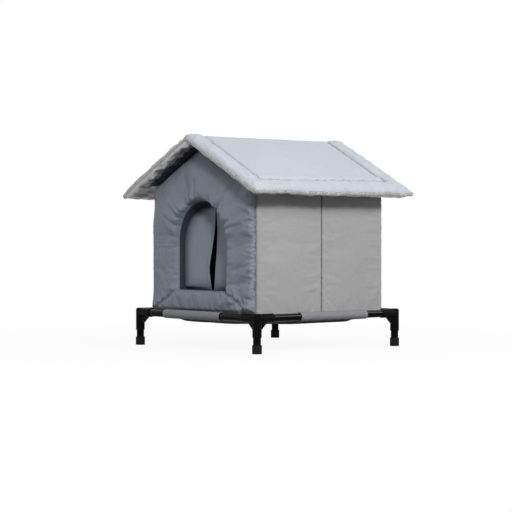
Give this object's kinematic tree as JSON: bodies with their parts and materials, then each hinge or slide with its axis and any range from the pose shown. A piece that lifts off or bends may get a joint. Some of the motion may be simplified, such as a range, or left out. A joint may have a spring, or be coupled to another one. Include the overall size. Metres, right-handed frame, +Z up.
{
  "type": "outdoor pet house",
  "caption": "Padded cloth pet house with a gable roof, arched door and hanging flaps, standing on a low tube cot with a sling.",
  "frame": {"origin": "on the ground, midway between the four legs, under the middle of the roof", "axes": "+Z up, -Y towards the door side, +X to the right seen from in front of the door"},
  "size_m": [0.505, 0.503, 0.5032],
  "materials": {
    "tube_paint": "gloss",
    "fitting_plastic": "gloss",
    "foot_rubber": "satin",
    "sling_fabric": "matte",
    "sleeve_fabric": "matte",
    "front_fabric": "matte",
    "wall_fabric": "matte",
    "roof_fabric": "matte",
    "flap_fabric": "matte",
    "lining_fabric": "matte",
    "binding": "matte",
    "tape": "matte",
    "foam": "matte"
  },
  "bodies": {
    "cot": {"rail_front": "tube_paint", "rail_rear": "tube_paint", "rail_left": "tube_paint", "rail_right": "tube_paint", "leg_front_left": "tube_paint", "leg_front_right": "tube_paint", "leg_rear_left": "tube_paint", "leg_rear_right": "tube_paint", "corner_front_left": "fitting_plastic", "corner_front_right": "fitting_plastic", "corner_rear_left": "fitting_plastic", "corner_rear_right": "fitting_plastic", "foot_front_left": "foot_rubber", "foot_front_right": "foot_rubber", "foot_rear_left": "foot_rubber", "foot_rear_right": "foot_rubber", "sling_cloth": "sling_fabric", "sling_sleeve_front": "sleeve_fabric", "sling_sleeve_rear": "sleeve_fabric", "sling_sleeve_left": "sleeve_fabric", "sling_sleeve_right": "sleeve_fabric"},
    "house": {"front_arch_pad": "front_fabric", "front_sill_pad": "front_fabric", "front_board": "foam", "front_lining": "lining_fabric", "flap_header": "flap_fabric", "right_wall_front_cover": "wall_fabric", "right_wall_rear_cover": "wall_fabric", "left_wall_front_cover": "wall_fabric", "left_wall_rear_cover": "wall_fabric", "right_wall_front_board": "foam", "right_wall_rear_board": "foam", "left_wall_front_board": "foam", "left_wall_rear_board": "foam", "rear_wall_cover": "wall_fabric", "rear_wall_board": "foam", "floor_cover": "wall_fabric", "floor_board": "foam", "gable_hook_tapes": "tape"},
    "roof": {"roof_cover": "roof_fabric", "roof_right_board": "foam", "roof_left_board": "foam", "roof_front_binding": "binding", "roof_rear_binding": "binding", "roof_right_eave_binding": "binding", "roof_left_eave_binding": "binding", "roof_loop_tapes": "tape"},
    "left_flap": {"left_flap": "flap_fabric"},
    "right_flap": {"right_flap": "flap_fabric"}
  },
  "joints": [
    {"name": "house_lift", "type": "slide", "parent": "cot", "child": "house", "axis": [0, 0, 1], "range_m": [0, 0.3]},
    {"name": "roof_lift", "type": "slide", "parent": "house", "child": "roof", "axis": [0, 0, 1], "range_m": [0, 0.25]},
    {"name": "left_flap_swing", "type": "hinge", "parent": "house", "child": "left_flap", "pos_m": [-0.03, -0.1656, 0.33515], "axis": [1, 0, 0], "range_deg": [0, 80]},
    {"name": "right_flap_swing", "type": "hinge", "parent": "house", "child": "right_flap", "pos_m": [0.04, -0.1656, 0.33515], "axis": [1, 0, 0], "range_deg": [0, 80]}
  ]
}
